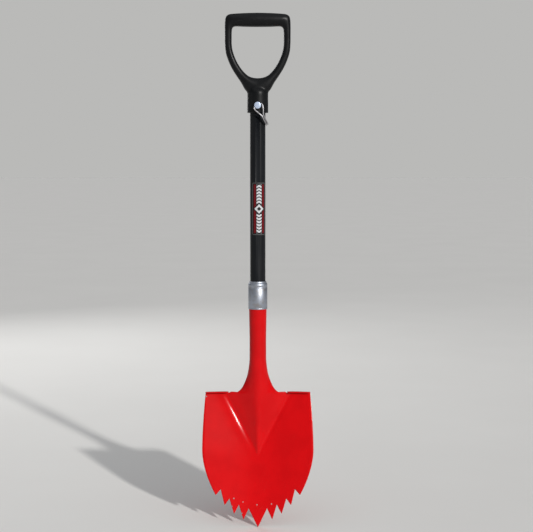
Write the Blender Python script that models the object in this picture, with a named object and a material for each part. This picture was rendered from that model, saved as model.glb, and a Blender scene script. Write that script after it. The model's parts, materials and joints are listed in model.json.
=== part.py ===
"""Camp shovel: a serrated round-point blade, a fibreglass shaft and a D-grip that a wire-lock pin holds.

Frame, in metres: +Z runs up the shaft to the grip, the blade's hollow front faces -Y, and the origin is the
centre of the grip's hand bar. Every sub-part is one object, modelled in place; the lock pin and its wire have
their origins on their hinge axes.
"""

import math

import bmesh
import bpy
from mathutils import Matrix, Vector

GAP = 0.0003  # clearance left between pieces that touch

# Shaft
SHAFT_R = 0.0150
SHAFT_BORE_R = 0.0110
SHAFT_TOP_Z = -0.1355
SHAFT_TAPER_Z = -0.566
SHAFT_END_Z = -0.652
SHAFT_END_R = 0.0136
CORE_R = SHAFT_BORE_R - GAP

# Grip
BAR_R = 0.0136
GRIP_HALF_WIDTH = 0.0637
ARM_DEPTH = 0.018
OPENING_BOTTOM_Z = -0.1116
GRIP_SOCKET_R = 0.0204
GRIP_SOCKET_END_Z = -0.1785
GRIP_BORE_TOP_Z = -0.1340

# Lock pin and its wire
PIN_Z = -0.1646
PIN_R = 0.0040
PIN_HEAD_R = 0.0066
PIN_HEAD_BACK_Y = -0.0209
PIN_HEAD_FRONT_Y = -0.0298
PIN_TIP_Y = 0.0325
WIRE_R = 0.0013
WIRE_AXIS_Y = -0.0254
WIRE_TILT = math.radians(26.8)

# Label
LABEL_TOP_Z = -0.3131
LABEL_BOTTOM_Z = -0.4161
LABEL_HALF_ANGLE = math.radians(62)
LABEL_TURN = math.radians(10)
LABEL_THICKNESS = 0.00025

# Ferrule
FERRULE_TOP_Z = -0.5074
FERRULE_LIP_END_Z = -0.5106
FERRULE_SHOULDER_Z = -0.5150
FERRULE_END_Z = -0.5623
FERRULE_R = 0.0188
FERRULE_LIP_R = 0.0166

# Blade and its rolled socket, one sheet of steel
SHEET = 0.0020
SOCKET_TOP_Z = -0.5215
SOCKET_TOP_R = 0.0164
SOCKET_WAIST_Z = -0.625
SOCKET_WAIST_R = 0.0154
FLARE_Z = -0.664
FLARE_R = 0.0156
SEAM_HALF_ANGLE = math.radians(3.6)
BLADE_TOP_Z = -0.7302
BLADE_LEAN = math.radians(11)
SHOULDER_Y = 0.009
FROG_HALF_WIDTH = 0.062
FROG_LENGTH = 0.122
FROG_FLANK_POWER = 1.75
CREST_ROUNDING = (0.011, 0.0035)  # at the top edge, and from CREST_NARROW_V down
CREST_NARROW_V = 0.08
NECK_HALF_WIDTH = 0.0405
CORNER_HALF_WIDTH = 0.1038
SIDE_BULGE = 0.0057
SIDE_BULGE_V = 0.1117
SIDE_DROP = 1.93
SIDE_DROP_POWER = 1.768
DISH_SLOPE = 0.19
VALLEY_ROUNDING = 0.010
CENTRE_ROUNDING = 0.020
TIP_CURL = 0.004
BLADE_LENGTH = 0.2651
TREAD_INNER_X = 0.059
TREAD_BEND_R = 0.0022
TREAD_DEPTH = 0.0070
TREAD_DROP = 0.0029  # the sheet stops this much lower where it bends, so the tread ends level with the edge
TREAD_RAMP = 0.0060

# Half of the serrated edge, from the middle point outwards: distance from the centreline and below the top edge
TEETH = (
    (0.0, 0.2651),
    (0.0182, 0.2284),
    (0.0284, 0.2494),
    (0.0373, 0.2202),
    (0.0469, 0.2377),
    (0.0560, 0.2079),
    (0.0654, 0.2200),
    (0.0730, 0.1891),
    (0.0830, 0.1999),
)
TOOTH_STEPS = 3
TOOTH_ROOT_V = 0.227  # just inside the roots at the centreline, and how fast their line rises with x squared
TOOTH_ROOT_CURVE = 7.86
TOOTH_POWER = 8
SIDE_POWER = 12

NECK_COLUMNS = 12
PLAIN_COLUMNS = 3
TREAD_COLUMNS = 9
BLADE_ROWS = 15
SOCKET_ROWS = 5
FLARE_ROWS = 10
BEND_ROWS = 4

# Rivets through ferrule, socket and shaft, on the back
RIVET_R = 0.0024
RIVET_HEAD_R = 0.0050
RIVET_HEAD_HEIGHT = 0.0022
RIVET_INNER_END = 0.0070
RIVET_PLACES = ((math.radians(142), -0.5340), (math.radians(-142), -0.5480))

ROUND = 48


# ---------------------------------------------------------------- helpers


def clear_scene():
    for obj in list(bpy.data.objects):
        bpy.data.objects.remove(obj)


def make_material(name, colour, roughness, metallic):
    mat = bpy.data.materials.new(name)
    mat.use_nodes = True
    shader = mat.node_tree.nodes["Principled BSDF"]
    shader.inputs["Base Color"].default_value = (*colour, 1.0)
    shader.inputs["Roughness"].default_value = roughness
    shader.inputs["Metallic"].default_value = metallic
    return mat


def add_object(name, bm, mat=None, origin=(0.0, 0.0, 0.0), sharp_degrees=35):
    """Turns a bmesh in world space into an object whose origin is at the given point."""
    bmesh.ops.recalc_face_normals(bm, faces=bm.faces)
    bmesh.ops.translate(bm, verts=bm.verts, vec=-Vector(origin))
    mesh = bpy.data.meshes.new(name)
    bm.to_mesh(mesh)
    bm.free()
    obj = bpy.data.objects.new(name, mesh)
    obj.location = origin
    bpy.context.scene.collection.objects.link(obj)
    mesh.shade_smooth()
    mesh.set_sharp_from_angle(angle=math.radians(sharp_degrees))
    if mat is not None:
        mesh.materials.append(mat)
    return obj


def turned(profile, segments=ROUND, closed=True):
    """Revolves (radius, height) points about Z. A closed profile makes a tube; an open one starts and ends on the axis."""
    bm = bmesh.new()
    rings = []
    for radius, height in profile:
        if radius == 0.0:
            rings.append([bm.verts.new((0.0, 0.0, height))])
            continue
        ring = []
        for k in range(segments):
            angle = math.tau * k / segments
            ring.append(bm.verts.new((radius * math.cos(angle), radius * math.sin(angle), height)))
        rings.append(ring)
    pairs = list(zip(rings, rings[1:]))
    if closed:
        pairs.append((rings[-1], rings[0]))
    for low, high in pairs:
        for k in range(segments):
            after = (k + 1) % segments
            corners = [low[k % len(low)], low[after % len(low)], high[after % len(high)], high[k % len(high)]]
            bm.faces.new(list(dict.fromkeys(corners)))
    return bm


def lathe_along(profile, start, direction, segments=ROUND, closed=False):
    """The turned shape with its axis on the line through start, heights measured along direction."""
    bm = turned(profile, segments, closed)
    turn = Vector(direction).to_track_quat("Z", "Y").to_matrix().to_4x4()
    bmesh.ops.transform(bm, matrix=Matrix.Translation(start) @ turn, verts=bm.verts)
    return bm


def rod(radius, start, end, segments=24):
    """A plain solid cylinder between two points."""
    start = Vector(start)
    end = Vector(end)
    length = (end - start).length
    return lathe_along([(0.0, 0.0), (radius, 0.0), (radius, length), (0.0, length)], start, end - start, segments)


def chamfered_rod(radius, low_z, high_z, chamfer):
    """A dowel on the Z axis with a chamfer on both ends."""
    profile = [
        (0.0, low_z),
        (radius - chamfer, low_z),
        (radius, low_z + chamfer),
        (radius, high_z - chamfer),
        (radius - chamfer, high_z),
        (0.0, high_z),
    ]
    return turned(profile, closed=False)


def boolean(obj, name, bm, operation="DIFFERENCE"):
    """Adds a Boolean modifier whose tool stays in the scene as a hidden wire guide."""
    tool = add_object(name, bm)
    tool.hide_render = True
    tool.display_type = "WIRE"
    modifier = obj.modifiers.new(name, "BOOLEAN")
    modifier.object = tool
    modifier.operation = operation
    modifier.solver = "EXACT"
    return tool


def smooth_path(points, steps):
    """Catmull-Rom curve through the points, of any dimension, with the ends doubled."""
    padded = [points[0], *points, points[-1]]
    result = []
    for a, b, c, d in zip(padded, padded[1:], padded[2:], padded[3:]):
        for k in range(steps):
            t = k / steps
            weights = (
                (-t + 2 * t * t - t**3) / 2,
                (2 - 5 * t * t + 3 * t**3) / 2,
                (t + 4 * t * t - 3 * t**3) / 2,
                (t**3 - t * t) / 2,
            )
            result.append(tuple(sum(w * p[i] for w, p in zip(weights, (a, b, c, d))) for i in range(len(b))))
    result.append(tuple(points[-1]))
    return result


def tube_along(path, radius, sides):
    """A round solid bar along a path, its section carried without twist, with flat ends."""
    bm = bmesh.new()
    points = [Vector(p) for p in path]
    tangent = (points[1] - points[0]).normalized()
    across = tangent.orthogonal().normalized()
    rings = []
    for k, point in enumerate(points):
        before = points[max(k - 1, 0)]
        after = points[min(k + 1, len(points) - 1)]
        new_tangent = (after - before).normalized()
        across = (across - new_tangent * across.dot(new_tangent)).normalized()
        other = new_tangent.cross(across)
        ring = []
        for j in range(sides):
            angle = math.tau * j / sides
            offset = across * math.cos(angle) + other * math.sin(angle)
            ring.append(bm.verts.new(point + offset * radius))
        rings.append(ring)
    for low, high in zip(rings, rings[1:]):
        for j in range(sides):
            after = (j + 1) % sides
            bm.faces.new((low[j], low[after], high[after], high[j]))
    bm.faces.new(rings[0])
    bm.faces.new(rings[-1])
    return bm


# ---------------------------------------------------------------- blade


def socket_radius(z):
    """Mid-sheet radius of the rolled socket."""
    if z > FERRULE_END_Z:
        return SOCKET_TOP_R
    if z > SOCKET_WAIST_Z:
        share = (z - FERRULE_END_Z) / (SOCKET_WAIST_Z - FERRULE_END_Z)
        return SOCKET_TOP_R + (SOCKET_WAIST_R - SOCKET_TOP_R) * share
    share = min(1.0, (z - SOCKET_WAIST_Z) / (FLARE_Z - SOCKET_WAIST_Z))
    return SOCKET_WAIST_R + (FLARE_R - SOCKET_WAIST_R) * share


def rounded(distance, rounding):
    """Distance from the centreline with its kink at zero rounded off."""
    return math.hypot(distance, rounding) - rounding


def frog_toe(v):
    """Half-width of the frog, the ridge that runs the socket out into the blade."""
    return FROG_HALF_WIDTH * max(0.0, 1.0 - v / FROG_LENGTH)


def frog_height(x, v):
    """How far the frog stands forward of the pan: steepest near its rounded crest, with hollow flanks."""
    toe = frog_toe(v)
    share = min(1.0, v / CREST_NARROW_V)
    crest = CREST_ROUNDING[0] + (CREST_ROUNDING[1] - CREST_ROUNDING[0]) * share
    across = rounded(x, crest)
    if across >= toe:
        return 0.0
    rise = max(0.0, SHOULDER_Y + FLARE_R - v * math.sin(BLADE_LEAN))
    return rise * (1.0 - across / toe) ** FROG_FLANK_POWER


def smooth_ramp(value, rounding):
    """The larger of value and zero, with the kink at zero rounded off."""
    return (value + math.hypot(value, rounding)) / 2


def dish_height(x, v):
    """How far the pan comes forward towards its sides: it slopes up from the frog's toe."""
    toe = smooth_ramp(FROG_HALF_WIDTH * (1.0 - v / FROG_LENGTH), VALLEY_ROUNDING)

    def reach(distance):
        return smooth_ramp(rounded(distance, CENTRE_ROUNDING) - toe, VALLEY_ROUNDING)

    return DISH_SLOPE * (reach(x) - reach(0.0))


def sheet_point(x, v):
    """Mid-sheet point at distance x from the centreline and v down the blade from its top edge."""
    curl = TIP_CURL * (v / BLADE_LENGTH) ** 3
    y = SHOULDER_Y - v * math.sin(BLADE_LEAN) - frog_height(x, v) - dish_height(x, v) - curl
    return Vector((x, y, BLADE_TOP_Z - v * math.cos(BLADE_LEAN)))


def side_half_width(v):
    """Half-width of the blade at its side edge."""
    widest = CORNER_HALF_WIDTH + SIDE_BULGE
    if v < SIDE_BULGE_V:
        return CORNER_HALF_WIDTH + SIDE_BULGE * math.sin(0.5 * math.pi * v / SIDE_BULGE_V)
    return widest - SIDE_DROP * (v - SIDE_BULGE_V) ** SIDE_DROP_POWER


def top_columns():
    """Distances from the centreline, along the top edge, of the blade's columns."""
    neck = [NECK_HALF_WIDTH * k / NECK_COLUMNS for k in range(NECK_COLUMNS)]
    plain = [
        NECK_HALF_WIDTH + (TREAD_INNER_X - NECK_HALF_WIDTH) * k / PLAIN_COLUMNS for k in range(PLAIN_COLUMNS)
    ]
    tread = [
        TREAD_INNER_X + (CORNER_HALF_WIDTH - TREAD_INNER_X) * k / TREAD_COLUMNS for k in range(TREAD_COLUMNS + 1)
    ]
    return neck + plain + tread


def bottom_columns():
    """Points along the serrated edge where the same columns end."""
    points = []
    for (x0, v0), (x1, v1) in zip(TEETH, TEETH[1:]):
        for k in range(TOOTH_STEPS):
            t = k / TOOTH_STEPS
            points.append((x0 + (x1 - x0) * t, v0 + (v1 - v0) * t))
    points.append(TEETH[-1])
    return points


def column_v(bottom_x, bottom_v, q):
    """How far down the blade a column has come at q. Rows follow the line of the tooth roots until the last few."""
    root_v = TOOTH_ROOT_V - TOOTH_ROOT_CURVE * bottom_x**2
    return root_v * q + (bottom_v - root_v) * q**TOOTH_POWER


def top_edge_v(x):
    """Where the flat sheet starts at distance x: lower under the treads."""
    share = max(0.0, min(1.0, 1.0 - (TREAD_INNER_X - x) / TREAD_RAMP))
    return TREAD_DROP * share * share * (3.0 - 2.0 * share)


def blade_grid_point(top_x, bottom, q):
    """Point of one column at q from 0, the top edge, to 1, the serrated edge."""
    bottom_x, bottom_v = bottom
    edge_x, edge_v = TEETH[-1]
    settle = 1.0 - (1.0 - q) ** 1.5
    straight = top_x + (bottom_x - top_x) * settle
    straight_side = CORNER_HALF_WIDTH + (edge_x - CORNER_HALF_WIDTH) * settle
    bulge = side_half_width(column_v(edge_x, edge_v, q)) - straight_side
    x = straight + bulge * (bottom_x / edge_x) ** SIDE_POWER
    return sheet_point(x, column_v(bottom_x, bottom_v, q) + top_edge_v(top_x) * (1.0 - q) ** 8)


def neck_point(column, z):
    """Point of the rolled socket, which opens at the back into the blade's top edge. Columns run 0 to NECK_COLUMNS."""
    share = column / NECK_COLUMNS
    angle = (math.pi - SEAM_HALF_ANGLE) * share
    radius = socket_radius(z)
    rolled = Vector((radius * math.sin(angle), -radius * math.cos(angle), z))
    if z >= FLARE_Z:
        return rolled
    t = (z - FLARE_Z) / (BLADE_TOP_Z - FLARE_Z)
    edge_opening = 0.84 * t + 0.16 * t**16
    opening = t + (edge_opening - t) * share**4
    spread = sheet_point(NECK_HALF_WIDTH * share, 0.0)
    opened = rolled.lerp(spread, opening)
    opened.z = z
    return opened


def tread_point(x, row):
    """Mid-sheet point and normal of the foot tread, which bends forward from the shoulder's top edge."""
    root = sheet_point(x, TREAD_DROP)
    start = -BLADE_LEAN
    angle = start + (0.5 * math.pi - start) * min(1.0, row / BEND_ROWS)
    forward = TREAD_BEND_R * (math.cos(start) - math.cos(angle))
    up = TREAD_BEND_R * (math.sin(angle) - math.sin(start))
    if row > BEND_ROWS:
        forward += TREAD_DEPTH * tread_share(x)
    point = root + Vector((0.0, -forward, up))
    return point, Vector((0.0, math.cos(angle), math.sin(angle)))


def tread_share(x):
    """The tread's depth as a share of its full depth: its two ends are rounded off."""
    inner = (x - TREAD_INNER_X) / 0.006
    outer = (CORNER_HALF_WIDTH - x) / 0.005
    reach = max(0.0, min(1.0, inner, outer))
    return 0.45 + 0.55 * math.sqrt(1.0 - (1.0 - reach) ** 2)


def blade_mid_sheet():
    """The sheet's middle surface as a bmesh, with the treads' exact normals kept aside."""
    bm = bmesh.new()
    tops = top_columns()
    bottoms = bottom_columns()
    exact_normals = {}

    def mirrored(make):
        """Vertices of one row from the left edge to the right edge, given its points for x >= 0."""
        right = [bm.verts.new(p) for p in make]
        left = [bm.verts.new((-p[0], p[1], p[2])) for p in make[1:]]
        return left[::-1] + right

    def stitch(upper, lower):
        for k in range(len(upper) - 1):
            bm.faces.new((upper[k], upper[k + 1], lower[k + 1], lower[k]))

    heights = [SOCKET_TOP_Z + (FLARE_Z - SOCKET_TOP_Z) * k / SOCKET_ROWS for k in range(SOCKET_ROWS)]
    heights += [FLARE_Z + (BLADE_TOP_Z - FLARE_Z) * (k / FLARE_ROWS) ** 0.8 for k in range(FLARE_ROWS)]
    above = None
    for z in heights:
        row = mirrored([neck_point(column, z) for column in range(NECK_COLUMNS + 1)])
        if above:
            stitch(above, row)
        above = row

    first = None
    for r in range(BLADE_ROWS + 1):
        q = r / BLADE_ROWS
        row = mirrored([blade_grid_point(x, bottom, q) for x, bottom in zip(tops, bottoms)])
        if first is None:
            first = row
            middle = len(tops) - 1
            stitch(above, row[middle - NECK_COLUMNS : middle + NECK_COLUMNS + 1])
        else:
            stitch(previous, row)
        previous = row

    tread_start = NECK_COLUMNS + PLAIN_COLUMNS
    for side in (-1, 1):
        indices = [middle + side * k for k in range(tread_start, len(tops))]
        lower = [first[k] for k in indices]
        for row_number in range(1, BEND_ROWS + 2):
            row = []
            for k in range(tread_start, len(tops)):
                point, normal = tread_point(tops[k], row_number)
                vert = bm.verts.new((side * point.x, point.y, point.z))
                exact_normals[vert] = normal
                row.append(vert)
            if side > 0:
                stitch(row, lower)
            else:
                stitch(row[::-1], lower[::-1])
            lower = row
    return bm, exact_normals


def thicken(bm, exact_normals, thickness):
    """Gives the middle surface its thickness and closes its rim."""
    bmesh.ops.recalc_face_normals(bm, faces=bm.faces)
    bm.normal_update()
    bm.verts.index_update()
    sample = next(iter(exact_normals))
    flip = -1.0 if sample.normal.dot(exact_normals[sample]) < 0 else 1.0
    solid = bmesh.new()
    outer = []
    inner = []
    for vert in bm.verts:
        normal = exact_normals.get(vert, vert.normal * flip)
        outer.append(solid.verts.new(vert.co + normal * thickness / 2))
        inner.append(solid.verts.new(vert.co - normal * thickness / 2))
    for face in bm.faces:
        indices = [v.index for v in face.verts]
        solid.faces.new([outer[i] for i in indices])
        solid.faces.new([inner[i] for i in reversed(indices)])
    for edge in bm.edges:
        if edge.is_boundary:
            a, b = (v.index for v in edge.verts)
            solid.faces.new((outer[a], outer[b], inner[b], inner[a]))
    bm.free()
    return solid


def rivet_direction(angle):
    """Unit vector pointing out of the shaft at an angle from the front."""
    return Vector((math.sin(angle), -math.cos(angle), 0.0))


def rivet_holes(obj, radius=RIVET_R + GAP, inner=RIVET_INNER_END - GAP):
    for k, (angle, z) in enumerate(RIVET_PLACES):
        out = rivet_direction(angle)
        centre = Vector((0.0, 0.0, z))
        boolean(obj, f"{obj.name}_rivet_hole_{k}", rod(radius, centre + out * inner, centre + out * 0.03))


def make_blade(mat):
    bm, exact_normals = blade_mid_sheet()
    obj = add_object("blade", thicken(bm, exact_normals, SHEET), mat)
    rivet_holes(obj, inner=0.010)
    return obj


# ---------------------------------------------------------------- shaft group


def make_shaft(mat):
    profile = [
        (SHAFT_BORE_R, SHAFT_TOP_Z),
        (SHAFT_BORE_R, SHAFT_END_Z),
        (SHAFT_END_R, SHAFT_END_Z),
        (SHAFT_R, SHAFT_TAPER_Z),
        (SHAFT_R, SHAFT_TOP_Z),
    ]
    obj = add_object("shaft_tube", turned(profile), mat)
    boolean(obj, "shaft_pin_hole", rod(PIN_R + GAP, (0, -0.03, PIN_Z), (0, 0.03, PIN_Z)))
    rivet_holes(obj)
    return obj


def make_cores(mat):
    upper = add_object("upper_core_plug", chamfered_rod(CORE_R, -0.205, SHAFT_TOP_Z - 0.001, 0.001), mat)
    boolean(upper, "upper_core_pin_hole", rod(PIN_R + GAP, (0, -0.03, PIN_Z), (0, 0.03, PIN_Z)))
    lower = add_object("lower_core_plug", chamfered_rod(CORE_R, SHAFT_END_Z + 0.001, -0.500, 0.001), mat)
    rivet_holes(lower)


def make_label(mat):
    """A thin film bent round the front of the shaft."""
    bm = bmesh.new()
    inner_r = SHAFT_R + GAP
    segments = 24
    columns = []
    for k in range(segments + 1):
        angle = LABEL_TURN + LABEL_HALF_ANGLE * (2 * k / segments - 1)
        out = rivet_direction(angle)
        column = []
        for radius, z in (
            (inner_r, LABEL_TOP_Z),
            (inner_r + LABEL_THICKNESS, LABEL_TOP_Z),
            (inner_r + LABEL_THICKNESS, LABEL_BOTTOM_Z),
            (inner_r, LABEL_BOTTOM_Z),
        ):
            column.append(bm.verts.new(out * radius + Vector((0, 0, z))))
        columns.append(column)
    for left, right in zip(columns, columns[1:]):
        for j in range(4):
            after = (j + 1) % 4
            bm.faces.new((left[j], left[after], right[after], right[j]))
    bm.faces.new(columns[0])
    bm.faces.new(columns[-1])
    add_object("shaft_label", bm, mat)


def make_ferrule(mat):
    """A drawn collar: a thin lip hugs the shaft, then a rounded shoulder and a straight skirt over the socket."""
    skirt_bore = SOCKET_TOP_R + SHEET / 2 + GAP
    lip_bore = SHAFT_R + GAP
    shoulder_width = FERRULE_R - FERRULE_LIP_R
    shoulder_height = FERRULE_LIP_END_Z - FERRULE_SHOULDER_Z
    rounding = []
    for k in range(6):
        angle = 0.5 * math.pi * k / 5
        rounding.append(
            (
                FERRULE_LIP_R + shoulder_width * math.sin(angle),
                FERRULE_SHOULDER_Z + shoulder_height * math.cos(angle),
            )
        )
    profile = [
        (lip_bore, FERRULE_TOP_Z),
        (lip_bore, SOCKET_TOP_Z + 0.0015),
        (skirt_bore, SOCKET_TOP_Z + GAP),
        (skirt_bore, FERRULE_END_Z),
        (FERRULE_R, FERRULE_END_Z),
        *rounding[::-1],
        (FERRULE_LIP_R, FERRULE_TOP_Z - 0.0006),
        (FERRULE_LIP_R - 0.0006, FERRULE_TOP_Z),
    ]
    obj = add_object("ferrule", turned(profile), mat)
    rivet_holes(obj, inner=0.010)
    return obj


def make_rivets(mat):
    """Two domed blind rivets, one each side of the socket's seam."""
    for name, (angle, z) in zip(("socket_rivet_right", "socket_rivet_left"), RIVET_PLACES):
        head = FERRULE_R + GAP
        rim = head + 0.0004
        dome = []
        for k in range(1, 6):
            swing = 0.5 * math.pi * k / 5
            radius = RIVET_HEAD_R * math.cos(swing) if k < 5 else 0.0
            dome.append((radius, rim + RIVET_HEAD_HEIGHT * math.sin(swing)))
        profile = [
            (0.0, RIVET_INNER_END),
            (RIVET_R, RIVET_INNER_END),
            (RIVET_R, head),
            (RIVET_HEAD_R, head),
            (RIVET_HEAD_R, rim),
            *dome,
        ]
        add_object(name, lathe_along(profile, Vector((0, 0, z)), rivet_direction(angle), 24), mat)


# ---------------------------------------------------------------- grip

# Half of the D loop, from the middle of the bar to the middle of the yoke, in metres:
# inner outline x, z; outer outline x, z; depth front to back; squareness of the section
GRIP_STATIONS = (
    (0.0000, -0.0136, 0.0000, 0.0136, 0.0272, 2.0),
    (0.0250, -0.0133, 0.0250, 0.0130, 0.0266, 2.0),
    (0.0400, -0.0126, 0.0470, 0.0117, 0.0246, 2.1),
    (0.0458, -0.0133, 0.0558, 0.0104, 0.0228, 2.2),
    (0.0487, -0.0158, 0.0610, 0.0068, 0.0210, 2.3),
    (0.0498, -0.0200, 0.0631, 0.0000, 0.0196, 2.4),
    (0.0502, -0.0270, GRIP_HALF_WIDTH, -0.0110, 0.0186, 2.5),
    (0.0503, -0.0370, GRIP_HALF_WIDTH, -0.0300, ARM_DEPTH, 2.6),
    (0.0502, -0.0470, 0.0635, -0.0460, ARM_DEPTH, 2.6),
    (0.0484, -0.0590, 0.0620, -0.0620, ARM_DEPTH, 2.6),
    (0.0435, -0.0735, 0.0570, -0.0780, ARM_DEPTH, 2.6),
    (0.0368, -0.0865, 0.0500, -0.0930, 0.0186, 2.6),
    (0.0280, -0.0985, 0.0420, -0.1060, 0.0200, 2.5),
    (0.0185, -0.1070, 0.0325, -0.1200, 0.0228, 2.4),
    (0.0092, -0.1106, 0.0220, -0.1370, 0.0252, 2.3),
    (0.0000, OPENING_BOTTOM_Z, 0.0000, -0.1500, 0.0262, 2.2),
)
LOOP_STEPS = 2
LOOP_SIDES = 16


def grip_loop():
    """The D-shaped ring, swept through its stations on both sides."""
    half = smooth_path(GRIP_STATIONS, LOOP_STEPS)
    stations = half + [(-s[0], s[1], -s[2], s[3], s[4], s[5]) for s in half[-2:0:-1]]
    bm = bmesh.new()
    rings = []
    for inner_x, inner_z, outer_x, outer_z, depth, power in stations:
        inner = Vector((inner_x, 0.0, inner_z))
        outer = Vector((outer_x, 0.0, outer_z))
        centre = (inner + outer) / 2
        half_width = (outer - inner) / 2
        ring = []
        for k in range(LOOP_SIDES):
            angle = math.tau * k / LOOP_SIDES
            c = math.cos(angle)
            s = math.sin(angle)
            along = math.copysign(abs(c) ** (2 / power), c)
            aside = math.copysign(abs(s) ** (2 / power), s)
            ring.append(bm.verts.new(centre + half_width * along + Vector((0, depth / 2 * aside, 0))))
        rings.append(ring)
    for k, ring in enumerate(rings):
        after_ring = rings[(k + 1) % len(rings)]
        for j in range(LOOP_SIDES):
            after = (j + 1) % LOOP_SIDES
            bm.faces.new((ring[j], ring[after], after_ring[after], after_ring[j]))
    return bm


def grip_socket():
    """The round socket below the yoke, with a domed top that blends into it."""
    dome_base = -0.141
    dome_height = 0.014
    profile = [(0.0, GRIP_SOCKET_END_Z), (GRIP_SOCKET_R - 0.0008, GRIP_SOCKET_END_Z)]
    profile += [(GRIP_SOCKET_R, GRIP_SOCKET_END_Z + 0.0008), (GRIP_SOCKET_R, dome_base)]
    for k in range(1, 7):
        angle = 0.5 * math.pi * k / 6
        radius = GRIP_SOCKET_R * math.cos(angle) if k < 6 else 0.0
        profile.append((radius, dome_base + dome_height * math.sin(angle)))
    return turned(profile, closed=False)


def make_grip(mat):
    obj = add_object("d_grip", grip_loop(), mat)
    boolean(obj, "grip_socket_form", grip_socket(), "UNION")
    bore_r = SHAFT_R + GAP
    bore = [(0.0, -0.185), (bore_r, -0.185), (bore_r, GRIP_BORE_TOP_Z - 0.001)]
    bore += [(bore_r - 0.001, GRIP_BORE_TOP_Z), (0.0, GRIP_BORE_TOP_Z)]
    boolean(obj, "grip_bore", turned(bore, closed=False))
    boolean(obj, "grip_pin_hole", rod(PIN_R + GAP, (0, -0.03, PIN_Z), (0, 0.03, PIN_Z)))
    return obj


# ---------------------------------------------------------------- lock pin


def wire_axis():
    """Direction of the cross hole in the pin's head, on which the wire hinges."""
    return Vector((math.cos(WIRE_TILT), 0.0, math.sin(WIRE_TILT)))


def wire_reach():
    """Direction in which the closed wire stands away from the pin."""
    return Vector((math.sin(WIRE_TILT), 0.0, -math.cos(WIRE_TILT)))


def make_pin(mat):
    head = PIN_HEAD_R
    length = PIN_TIP_Y - PIN_HEAD_FRONT_Y
    head_length = PIN_HEAD_BACK_Y - PIN_HEAD_FRONT_Y
    profile = [
        (0.0, 0.0),
        (head - 0.0032, 0.0002),
        (head - 0.0012, 0.0007),
        (head, 0.0019),
        (head, head_length - 0.0004),
        (head - 0.0004, head_length),
        (PIN_R, head_length),
        (PIN_R, length - 0.0015),
        (PIN_R - 0.0015, length),
        (0.0, length),
    ]
    bm = lathe_along(profile, (0.0, PIN_HEAD_FRONT_Y, PIN_Z), (0, 1, 0), 32)
    obj = add_object("lock_pin", bm, mat, origin=(0.0, WIRE_AXIS_Y, PIN_Z))
    centre = Vector((0.0, WIRE_AXIS_Y, PIN_Z))
    reach = wire_axis() * 0.012
    boolean(obj, "pin_wire_hole", rod(WIRE_R + GAP, centre - reach, centre + reach, 16))
    return obj


# Half of the wire, from its end in the pin's head to the middle of its eye behind the pin's tip:
# distance along the hinge axis, distance out from the pin, and front-to-back place, in metres
WIRE_ROUTE = (
    (0.0042, 0.0000, -0.0254),
    (0.0069, 0.0000, -0.0254),
    (0.0083, 0.0012, -0.0255),
    (0.0083, 0.0055, -0.0259),
    (0.0068, 0.0102, -0.0263),
    (0.0043, 0.0156, -0.0265),
    (0.0020, 0.0208, -0.0263),
    (0.0015, 0.0260, -0.0255),
    (0.0015, 0.0320, -0.0224),
    (0.0015, 0.0372, -0.0167),
    (0.0015, 0.0400, -0.0092),
    (0.0015, 0.0409, -0.0012),
    (0.0015, 0.0402, 0.0075),
    (0.0015, 0.0370, 0.0158),
    (0.0015, 0.0312, 0.0222),
    (0.0018, 0.0240, 0.0266),
    (0.0031, 0.0170, 0.0292),
    (0.0050, 0.0100, 0.0306),
    (0.0058, 0.0030, 0.0316),
    (0.0054, -0.0025, 0.0326),
    (0.0036, -0.0056, 0.0335),
    (0.0000, -0.0066, 0.0341),
)
WIRE_STEPS = 2
WIRE_SIDES = 8


def make_bail(mat):
    half = smooth_path(WIRE_ROUTE, WIRE_STEPS)
    route = half + [(-a, s, y) for a, s, y in half[-2::-1]]
    pin = Vector((0.0, 0.0, PIN_Z))
    points = [pin + wire_axis() * a + wire_reach() * s + Vector((0, y, 0)) for a, s, y in route]
    bm = tube_along(points, WIRE_R, WIRE_SIDES)
    add_object("lock_wire", bm, mat, origin=(0.0, WIRE_AXIS_Y, PIN_Z), sharp_degrees=60)


def main():
    clear_scene()
    red = make_material("red_powder_coat", (0.62, 0.01, 0.015), 0.28, 0.0)
    black = make_material("black_moulding", (0.012, 0.012, 0.013), 0.42, 0.0)
    fibreglass = make_material("black_fibreglass", (0.016, 0.017, 0.02), 0.36, 0.0)
    wood = make_material("core_wood", (0.55, 0.38, 0.22), 0.7, 0.0)
    steel = make_material("polished_steel", (0.72, 0.73, 0.75), 0.22, 1.0)
    zinc = make_material("zinc_plate", (0.78, 0.79, 0.8), 0.26, 1.0)
    vinyl = make_material("label_vinyl", (0.03, 0.03, 0.035), 0.4, 0.0)
    make_blade(red)
    make_shaft(fibreglass)
    make_cores(wood)
    make_label(vinyl)
    make_ferrule(steel)
    make_rivets(steel)
    make_grip(black)
    make_pin(zinc)
    make_bail(zinc)


main()
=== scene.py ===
"""Looks of the camp shovel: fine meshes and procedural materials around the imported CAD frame.

Frame, in metres: +Z runs up the shaft to the grip, the blade's hollow front faces -Y, and the origin is the
centre of the grip's hand bar.
"""

import json
import math

import bmesh
import bpy
from mathutils import Matrix, Vector

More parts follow.
